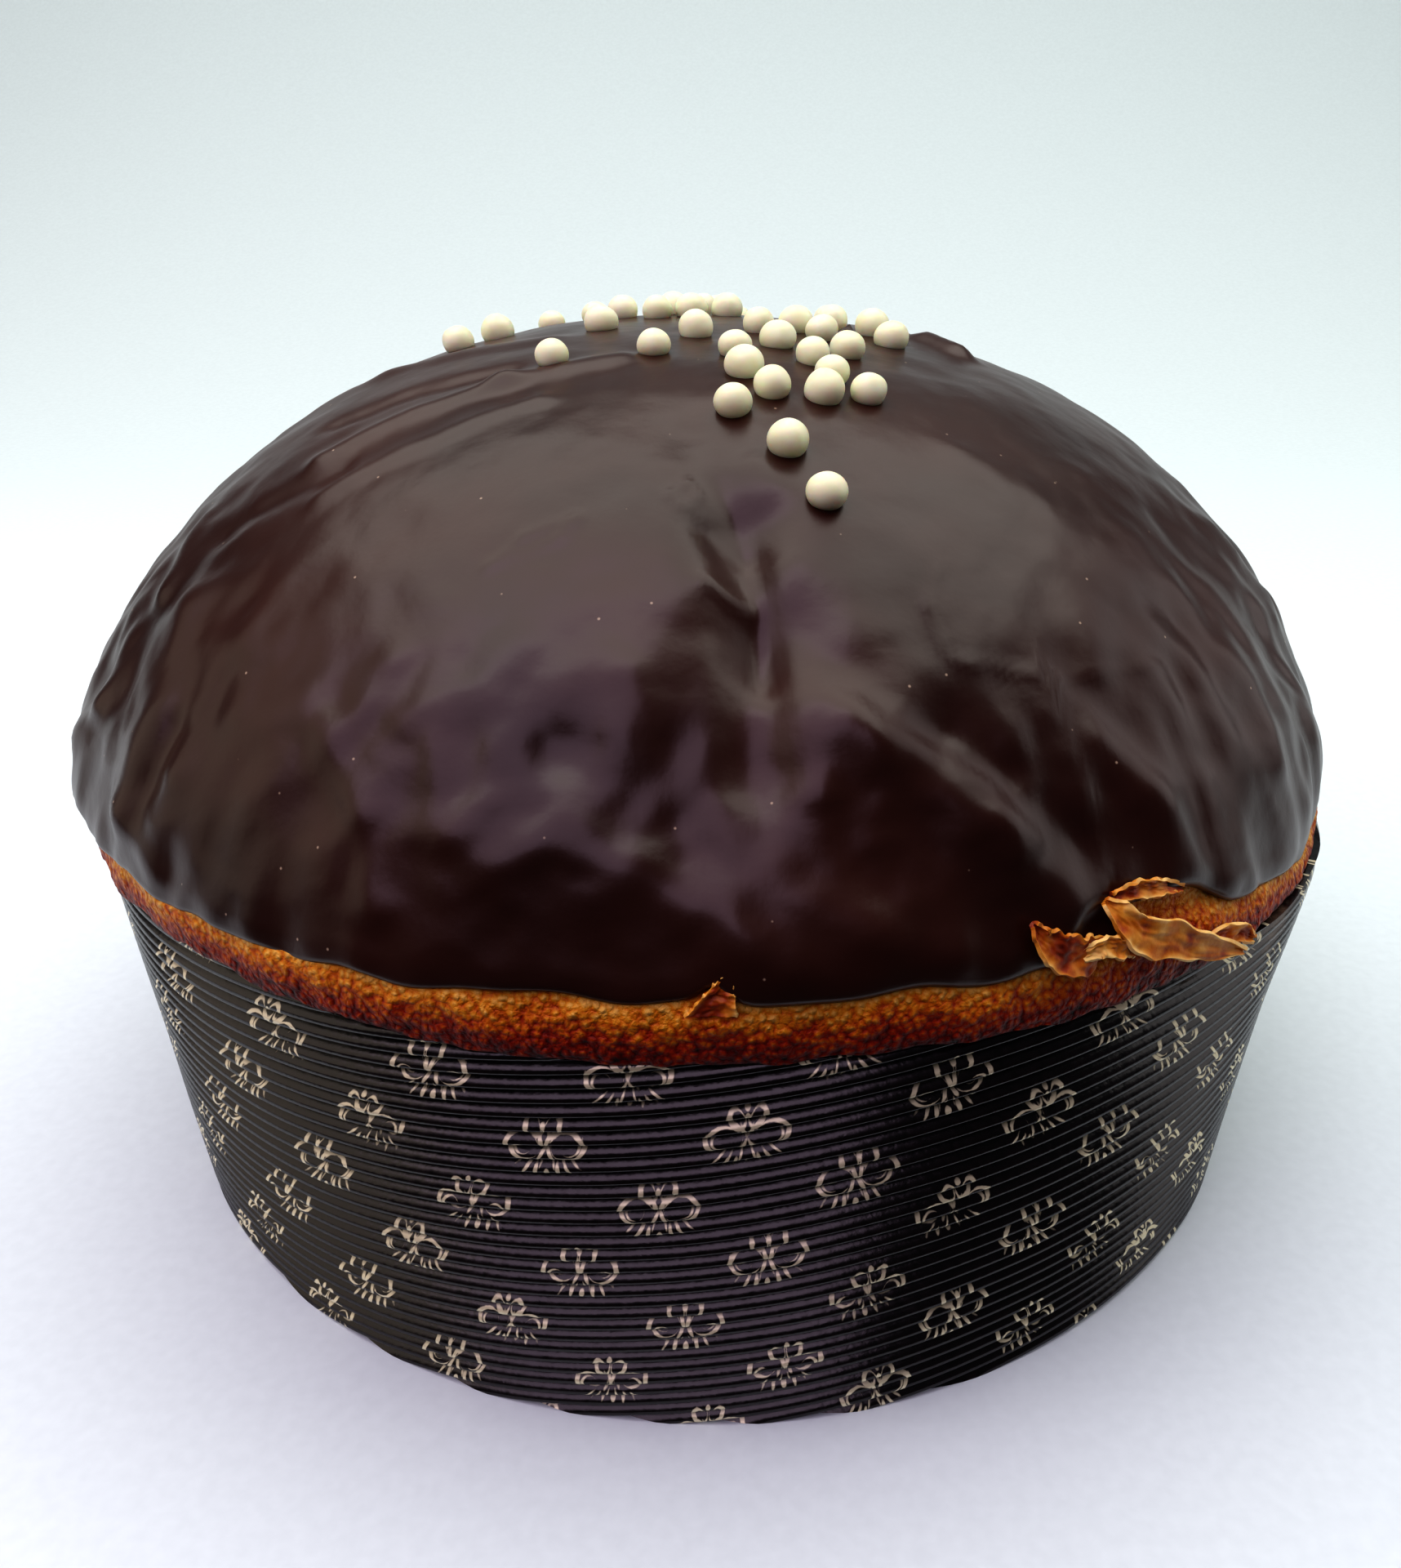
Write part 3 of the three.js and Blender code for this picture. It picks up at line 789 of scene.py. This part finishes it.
# No leaf follows the dome above this height, and each leans in above the lower one.
LEAF_TOP = 84.0
LEAN_FROM = 79
LEAN = 0.012
PEAK_SEED = 5
TORN_LEAVES = [
    # azimuths, heights and stand-offs along the leaf's middle, half widths, paleness, seed
    ((21.7, 22.3, 23.8, 25.6, 27.4), (84.8, 82.8, 80.6, 79.0, 78.2), (2.3, 2.5, 2.2, 1.6, 0.6),
     (0.2, 1.4, 2.3, 2.6, 2.0), 0.1, 1),
    ((25.4, 27.0, 28.6, 30.0), (79.2, 79.8, 79.0, 77.6), (1.2, 2.0, 2.0, 1.2),
     (0.6, 1.0, 1.2, 0.8), 0.6, 4),
    ((28.0, 28.8, 30.2, 33.0, 36.6, 40.6), (84.4, 82.6, 80.0, 77.6, 74.2, 70.8),
     (1.2, 2.0, 2.4, 2.4, 2.8, 3.6), (0.4, 1.7, 2.2, 2.4, 2.0, 0.3), 0.55, 2),
    ((28.6, 30.4, 32.6, 35.4), (84.6, 85.0, 84.2, 82.2), (0.8, 1.4, 1.5, 0.6),
     (0.4, 1.0, 1.0, 0.3), 0.3, 3),
    ((35.6, 38.5, 40.8, 42.2), (74.0, 74.6, 73.4, 71.4), (1.4, 2.2, 2.6, 3.2),
     (0.6, 1.4, 1.2, 0.3), 0.35, 6),
    ((0.7, 1.2, 1.9), (77.4, 80.2, 83.2), (0.2, 0.6, 0.7), (3.0, 1.8, 0.1), 0.35, PEAK_SEED),
]
leaves = []
for azimuths, heights, stands, half_widths, paleness, seed in TORN_LEAVES:
    leaf = add_grid("torn_leaf", LEAF_ROWS_ALONG, LEAF_ROWS_ACROSS)
    along, beside = flat_places(leaf)
    beside = 2 * beside - 1
    marks = np.linspace(0, 1, len(azimuths))
    flow = np.interp(along, marks, azimuths)
    level = np.interp(along, marks, heights)
    # The leaf's own direction at each point, which its width is laid square to.
    step_across = np.radians(np.interp(along + LOOK_AHEAD, marks, azimuths) - flow) * LEAF_RADIUS
    step_up = np.interp(along + LOOK_AHEAD, marks, heights) - level
    stride = np.maximum(np.hypot(step_across, step_up), 1e-6)
    at_tip = along > 1 - LOOK_AHEAD
    step_across = np.where(at_tip, 0.7, step_across / stride)
    step_up = np.where(at_tip, -0.7, step_up / stride)
    ragged = 0.35
    if seed == PEAK_SEED:
        step_across = np.zeros(len(along))
        step_up = np.ones(len(along))
        ragged = 0.08
    track = np.stack([along * LEAF_LENGTH, beside * LEAF_WIDTH, seed + 0 * along], axis=-1)
    ragged_width = np.interp(along, marks, half_widths) * (1 + ragged * ripple(track, 2.2, 8))
    sideways = beside * ragged_width
    flow = flow - np.degrees(step_up * sideways / LEAF_RADIUS)
    level = level + step_across * sideways
    radius, _ = dome_outline(part_at_height(np.minimum(level, LEAF_TOP)))
    radius = radius - LEAN * np.maximum(level - LEAN_FROM, 0) ** 2
    stand = np.interp(along, marks, stands) + 0.5 * beside ** 2 + 0.35 * ripple(track, 3.0, 9)
    crumple = 0.3 * ripple(track * [0.5, 1.0, 1.0], 0.9, 10)
    move_to(leaf, turned(flow, radius + stand + crumple, level, DOME_SHIFT_X))
    pale = leaf.data.attributes.new("paleness", "FLOAT", "POINT")
    pale.data.foreach_set("value", paleness + 0.55 * np.abs(beside) ** 6)
    solidify = leaf.modifiers.new("leaf_thickness", "SOLIDIFY")
    solidify.thickness = LEAF_THICKNESS * MM
    bpy.ops.object.modifier_apply(modifier=solidify.name)
    leaves.append(leaf)
for leaf in leaves:
    leaf.select_set(True)
bpy.context.view_layer.objects.active = leaves[0]
bpy.ops.object.join()
torn = bpy.context.object
torn.name = "torn_crust"
torn.data.name = "torn_crust"
bpy.ops.object.shade_smooth_by_angle(angle=math.radians(50))

# Torn crust: thinner, paler and more even than the band, with light edges.
torn_finish, tree = new_material("torn_pale_crust")
place = add_node(tree, "ShaderNodeTexCoord").outputs["Object"]
patches = add_node(
    tree, "ShaderNodeTexNoise", inputs={"Vector": place, "Scale": 1 / (3.5 * MM), "Detail": 5.0}
)
pale = add_node(tree, "ShaderNodeAttribute", {"attribute_name": "paleness"})
pale_share = add_node(
    tree, "ShaderNodeMath", {"operation": "MULTIPLY_ADD"},
    {0: pale.outputs["Fac"], 1: 0.42, 2: -0.16},
)
shade = add_node(
    tree, "ShaderNodeMath", {"operation": "ADD"},
    {0: patches.outputs["Fac"], 1: pale_share.outputs[0]},
)
ramp = add_node(
    tree, "ShaderNodeValToRGB", inputs={"Fac": shade.outputs[0]},
    stops=[
        (0.25, "540d02"), (0.4, "9a3c08"), (0.52, "c37418"), (0.66, "d89a3c"), (0.82, "ecc67c"),
    ],
)
bump = add_node(
    tree, "ShaderNodeBump",
    inputs={"Height": patches.outputs["Fac"], "Strength": 0.6, "Distance": 0.5 * MM},
)
surface = add_node(tree, "ShaderNodeBsdfPrincipled", inputs={
    "Base Color": ramp.outputs["Color"],
    "Normal": bump.outputs["Normal"],
    "Roughness": 0.5,
    "IOR": 1.45,
    "Subsurface Weight": 0.1,
    "Subsurface Scale": 1.2 * MM,
})
add_node(tree, "ShaderNodeOutputMaterial", inputs={"Surface": surface.outputs["BSDF"]})
torn.data.materials.append(torn_finish)
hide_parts("bread")
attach(torn, "root")


# Chocolate glaze
# A coat of dark chocolate about 2 mm thick, poured warm over the dome and left to set.
# It follows the crust's folds, and ends in a rounded lip just above the crust band.
GLAZE_COLUMNS = 540
INNER_ROWS = 38
LIP_ROWS = 6
OUTER_ROWS = 132
ROW_CROWDING = 1.12
LIP_DROP = 1.0
LIP_SWELL = 0.07
INNER_CLEARANCE = 0.1
# The bead along the edge: how proud it stands, how far over the edge and how wide.
BEAD = (0.15, 1.6, 1.8)
# Soft unevenness everywhere and, at the front, knuckles: height, size and seed.
UNEVENNESS = [(0.5, 30.0, 11), (0.32, 12.0, 12), (0.12, 5.5, 13), (0.05, 3.2, 17)]
KNUCKLES = [(0.6, 6.0, 15), (0.25, 3.4, 18)]

SMALL_FOLDS = FOLDS + [
    ((3.0, 130), (5.6, 124), 2.2, -0.4),
    ((5.6, 124), (5.6, 112), 2.2, -0.8),
    ((8.6, 122), (8.6, 110), 3.2, 0.7),
    ((1.0, 117), (0.2, 105), 4.5, 0.9),
    ((5.0, 112), (4.0, 97), 4.0, -1.2),
    ((-20.4, 121), (-18.0, 124), 0.9, 0.22),
    ((-18.0, 124), (-13.0, 126), 0.9, 0.22),
    ((-13.0, 126), (-14.2, 124), 0.9, 0.22),
    ((-14.2, 124), (-20.4, 121), 0.9, 0.16),
    ((-3.2, 128.6), (-1.2, 130), 0.8, 0.22),
    ((-1.2, 130), (0.2, 129), 0.8, 0.22),
    ((0.2, 129), (-1.6, 127.6), 0.8, 0.22),
    ((-1.6, 127.6), (-3.2, 128.6), 0.8, 0.22),
    ((20.4, 113), (20.8, 117), 0.8, 0.2),
    ((20.8, 117), (23.0, 120), 0.8, 0.2),
    ((21.5, 111.5), (30, 108), 0.9, 0.2),
    ((30, 108), (42, 106), 0.9, 0.16),
    ((9.0, 104), (8.4, 101), 3.2, 1.2),
    ((11.5, 107), (13.5, 105), 3.6, 1.1),
    ((-6.0, 112), (-5.5, 105), 4.0, 0.8),
    ((1.0, 121), (4.6, 119), 1.6, 0.6),
    ((-30, 103), (-24, 95), 2.6, 0.5),
    ((-24, 95), (-22, 86), 2.6, 0.7),
    ((-64, 101), (-62, 92), 3.0, 0.7),
    ((-62, 92), (-66, 85), 3.0, 0.7),
    ((-46, 97), (-47, 84), 2.6, -0.6),
    ((-50, 85), (-43, 80), 2.2, 0.6),
    ((-88, 125), (-85, 134), 3.5, 0.3),
    ((-85, 134), (-72, 140), 3.5, 0.7),
    ((-56, 127), (-43, 137), 2.6, 1.0),
    ((-43, 137), (-24, 139.7), 3.0, 1.0),
    ((-66, 130), (-50, 138), 2.4, -0.8),
    ((-48, 124), (-30, 136), 2.4, 0.7),
    ((-60, 117), (-50, 127), 2.4, -0.7),
    ((-70, 116), (-62, 108), 2.6, 0.8),
    ((-17, 95), (-12, 93), 4.0, 0.9),
    ((-9, 97), (-5, 94), 4.0, 0.8),
    ((-10, 104), (-3, 106), 3.5, -0.3),
    ((2, 99), (5, 97), 3.5, 0.7),
    ((0, 89), (5, 83), 4.0, 0.8),
    ((8, 90), (12, 85), 3.5, 0.8),
    ((17, 82), (20, 80), 3.0, 0.7),
    ((19, 104), (27, 92), 5.0, -1.2),
    ((11, 107), (19, 100), 3.5, 0.6),
    ((32, 101), (35, 92), 3.0, 0.7),
    ((35, 94), (37, 83), 3.0, 0.8),
    ((41, 92), (41, 80), 3.0, 0.7),
    ((53, 103), (52, 89), 3.5, 0.9),
    ((37, 130), (46, 116), 5.0, 0.6),
    ((46, 116), (48, 109), 4.0, -0.6),
    ((1, 126), (4, 122), 2.5, -0.7),
    ((7, 131), (8, 129), 3.0, 0.6),
    ((26.5, 81), (28, 81.5), 2.2, -1.4),
    ((81, 140.1), (81.5, 140.1), 1.3, 2.2),
    ((86, 139.0), (87, 139.0), 1.3, 2.4),
    ((96, 137.5), (88, 136.5), 3.0, 2.0),
    ((100, 139), (112, 138), 5.0, 0.9),
    ((-100, 95), (-108, 84), 4.0, 1.0),
    ((-130, 110), (-122, 92), 5.0, 1.1),
    ((-150, 100), (-156, 84), 4.0, -1.0),
    ((170, 112), (176, 88), 5.0, 1.2),
    ((150, 96), (158, 84), 4.0, 1.0),
    ((130, 118), (122, 96), 6.0, -1.2),
    ((96, 104), (104, 86), 4.0, 1.1),
    ((84, 96), (80, 84), 3.5, 0.9),
]


def glaze_relief(points):
    """All folds and the soft unevenness of the set chocolate, in mm."""
    height = points[:, 2]
    side = np.abs(points[:, 0]) / DOME_RADIUS
    at_knuckles = bell(height, 100, 14) * (1 - smooth_step(side, 0.3, 0.6))
    at_runs = smooth_step(height, 132, 104) * smooth_step(side, 0.2, 0.55)
    total = relief(points, SMALL_FOLDS)
    for high, size, seed in UNEVENNESS:
        total += high * ripple(points, size, seed)
    for high, size, seed in KNUCKLES:
        total += high * at_knuckles * ripple(points, size, seed)
    total += 0.75 * at_runs * ripple(points * [1.0, 1.0, 0.28], 6.0, 16)
    wrinkles = 1 - np.abs(ripple(points * [1.0, 1.0, 0.5], 9.0, 14)) * 2
    return total + 0.4 * smooth_step(height, 116, 92) * wrinkles


glaze = add_grid("chocolate_coat", GLAZE_COLUMNS, INNER_ROWS + LIP_ROWS + OUTER_ROWS)
around, up = flat_places(glaze)
azimuth = 360 * around - 180
row = np.rint(up * (INNER_ROWS + LIP_ROWS + OUTER_ROWS)).astype(int)
edge = glaze_edge(azimuth)
edge_part = part_at_height(edge)
inner_share = np.clip(row / INNER_ROWS, 0, 1)
lip_share = np.clip((row - INNER_ROWS) / LIP_ROWS, 0, 1)
outer_share = np.clip((row - INNER_ROWS - LIP_ROWS) / OUTER_ROWS, 0, 1)
inner_part = edge_part * inner_share
inner = dome_point(azimuth, inner_part, GLAZE)
inner = dome_point(azimuth, inner_part, GLAZE + INNER_CLEARANCE - glaze_relief(inner))
lip_part = part_at_height(edge - LIP_DROP * np.sin(np.pi * lip_share))
lip_depth = GLAZE * (1 + np.cos(np.pi * lip_share)) / 2
lip = dome_point(azimuth, lip_part, lip_depth)
outer_part = edge_part * (1 - outer_share) ** ROW_CROWDING
outer = dome_point(azimuth, outer_part, 0.0)
raised = glaze_relief(outer)
bead = BEAD[0] * bell(outer[:, 2], edge + BEAD[1], BEAD[2])
outer = dome_point(azimuth, outer_part, -raised - bead)
lip_raised = (glaze_relief(lip) + LIP_SWELL) * lip_share
lip = dome_point(azimuth, lip_part, lip_depth - lip_raised)
points = np.where((row <= INNER_ROWS)[:, None], inner, lip)
points = np.where((row > INNER_ROWS + LIP_ROWS)[:, None], outer, points)
move_to(glaze, points)
merge_doubles(glaze)
bpy.ops.object.shade_smooth()

# Set dark chocolate: satin where the fat is well tempered, duller where it has bloomed.
dark_chocolate, tree = new_material("set_dark_chocolate")
place = add_node(tree, "ShaderNodeTexCoord").outputs["Object"]
clouds = add_node(
    tree, "ShaderNodeTexNoise", inputs={"Vector": place, "Scale": 1 / (34 * MM), "Detail": 4.0}
)
chocolate_tint = add_node(
    tree, "ShaderNodeValToRGB", inputs={"Fac": clouds.outputs["Fac"]},
    stops=[(0.3, "2a110c"), (0.7, "3a1b13")],
)
specks = add_node(
    tree, "ShaderNodeTexVoronoi", {"feature": "F1"},
    {"Vector": place, "Scale": 1 / (5.5 * MM), "Randomness": 1.0},
)
speck = add_node(
    tree, "ShaderNodeMapRange",
    inputs={"Value": specks.outputs["Distance"], "From Min": 0.045, "From Max": 0.02},
)
chocolate_colour = add_node(
    tree, "ShaderNodeMix", {"data_type": "RGBA"},
    {
        "Factor": speck.outputs["Result"],
        "A": chocolate_tint.outputs["Color"],
        "B": linear("a08c78"),
    },
)
skin_grain = add_node(
    tree, "ShaderNodeTexNoise", inputs={"Vector": place, "Scale": 1 / (3 * MM), "Detail": 5.0}
)
satin = add_node(
    tree, "ShaderNodeMapRange",
    inputs={"Value": clouds.outputs["Fac"], "To Min": 0.27, "To Max": 0.38},
)
chocolate_bump = add_node(
    tree, "ShaderNodeBump",
    inputs={"Height": skin_grain.outputs["Fac"], "Strength": 0.4, "Distance": 0.16 * MM},
)
surface = add_node(tree, "ShaderNodeBsdfPrincipled", inputs={
    "Base Color": chocolate_colour.outputs["Result"],
    "Roughness": satin.outputs["Result"],
    "Normal": chocolate_bump.outputs["Normal"],
    "IOR": 1.5,
})
add_node(tree, "ShaderNodeOutputMaterial", inputs={"Surface": surface.outputs["BSDF"]})
glaze.data.materials.append(dark_chocolate)
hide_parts("chocolate_glaze")
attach(glaze, "root")


# Sugar pearls
# Small crisp balls coated in cream-white chocolate, a little under 6 mm across.
# They were dropped on the glaze before it set, and are sunk in it by about a quarter.
PEARL_RADIUS = 2.8
PEARL_LIFT = 1.3
PEARL_SPACING = 6.2
# How far a pearl is lifted with the folds under it, and how much size and shape vary.
RISES_WITH_FOLDS = 0.8
SIZE_SPREAD = 0.06
SHAPE_SPREAD = 0.05
PEARL_SEED = 11
PEARL_PLACES = [
    (-43.6, 7), (-37.3, 11.8), (-24, -25), (-18, -1), (-15.4, 19.8), (-9, 16.5), (-2.8, 17.4),
    (-8.5, -22.9), (-2, -9.9), (3.6, 19.3), (4, -24.7), (5.1, -34.3), (8.9, -41), (3.2, -46.4),
    (10.9, -17.7), (15.7, -26.5), (10.4, -55.4), (15, -64.6), (18, -34), (16.4, -41),
    (23, -38.8), (21.8, -19.3), (30.3, -6.5), (8.4, -4.6), (14.7, -2.6), (18.6, -8.4),
    (21.4, 4.4), (28, 1.6),
]
# More lie in a field behind the top, drawn as the solid draws its own.
PEARL_COUNT = len(PEARL_PLACES) + 8
FIELD_START = (-30, 22)
FIELD_SIZE = (62, 30)
DRAW_FACTOR = 16807
DRAW_PERIOD = 2147483647
draw_state = PEARL_SEED
while len(PEARL_PLACES) < PEARL_COUNT:
    draws = []
    for _ in range(2):
        draw_state = draw_state * DRAW_FACTOR % DRAW_PERIOD
        draws.append(draw_state / DRAW_PERIOD)
    next_place = tuple(
        start + size * draw for start, size, draw in zip(FIELD_START, FIELD_SIZE, draws)
    )
    if all(math.dist(next_place, other) > PEARL_SPACING for other in PEARL_PLACES):
        PEARL_PLACES.append(next_place)

pearls = []
for number, (across, back) in enumerate(PEARL_PLACES):
    azimuth = np.degrees(np.arctan2(across - DOME_SHIFT_X, -back))
    radius = math.hypot(across - DOME_SHIFT_X, back) / DOME_RADIUS
    part = 1 - np.arccos(radius ** (DOME_ACROSS_POWER / 2)) / (np.pi / 2)
    flat_spot = dome_point(np.array([azimuth]), np.array([part]), 0.0)
    lift = PEARL_LIFT + glaze_relief(flat_spot)[0] * RISES_WITH_FOLDS
    centre = dome_point(np.array([azimuth]), np.array([part]), -lift)[0]
    bpy.ops.object.select_all(action="DESELECT")
    bpy.ops.mesh.primitive_ico_sphere_add(subdivisions=4, radius=1.0)
    pearl = bpy.context.object
    ball = np.empty(len(pearl.data.vertices) * 3)
    pearl.data.vertices.foreach_get("co", ball)
    ball = ball.reshape(-1, 3)
    size = PEARL_RADIUS * (1 + SIZE_SPREAD * math.sin(number * 2.4))
    squash = np.array([1.0, 1.0, 0.94 + SHAPE_SPREAD * math.sin(number * 1.7)])
    uneven = 1 + SHAPE_SPREAD * ripple(ball * 3, 3.0, number + 20)
    move_to(pearl, centre + ball * squash * (size * uneven)[:, None])
    pearls.append(pearl)
for pearl in pearls:
    pearl.select_set(True)
bpy.context.view_layer.objects.active = pearls[0]
bpy.ops.object.join()
sugar_pearls = bpy.context.object
sugar_pearls.name = "sugar_pearls"
sugar_pearls.data.name = "sugar_pearls"
bpy.ops.object.shade_smooth()

# Cream-white coating: satin, and a little translucent, so its shaded side stays warm.
pearl_coating, tree = new_material("cream_pearl_coating")
place = add_node(tree, "ShaderNodeTexCoord").outputs["Object"]
mottle = add_node(
    tree, "ShaderNodeTexNoise", inputs={"Vector": place, "Scale": 1 / (4 * MM), "Detail": 3.0}
)
pearl_tint = add_node(
    tree, "ShaderNodeValToRGB", inputs={"Fac": mottle.outputs["Fac"]},
    stops=[(0.3, "ebf0c8"), (0.7, "f2f6d8")],
)
pearl_bump = add_node(
    tree, "ShaderNodeBump",
    inputs={"Height": mottle.outputs["Fac"], "Strength": 0.3, "Distance": 0.2 * MM},
)
surface = add_node(tree, "ShaderNodeBsdfPrincipled", inputs={
    "Base Color": pearl_tint.outputs["Color"],
    "Roughness": 0.42,
    "IOR": 1.45,
    "Subsurface Weight": 0.5,
    "Subsurface Scale": 1.6 * MM,
    "Normal": pearl_bump.outputs["Normal"],
})
add_node(tree, "ShaderNodeOutputMaterial", inputs={"Surface": surface.outputs["BSDF"]})
sugar_pearls.data.materials.append(pearl_coating)
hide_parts("chocolate_glaze")
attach(sugar_pearls, "root")
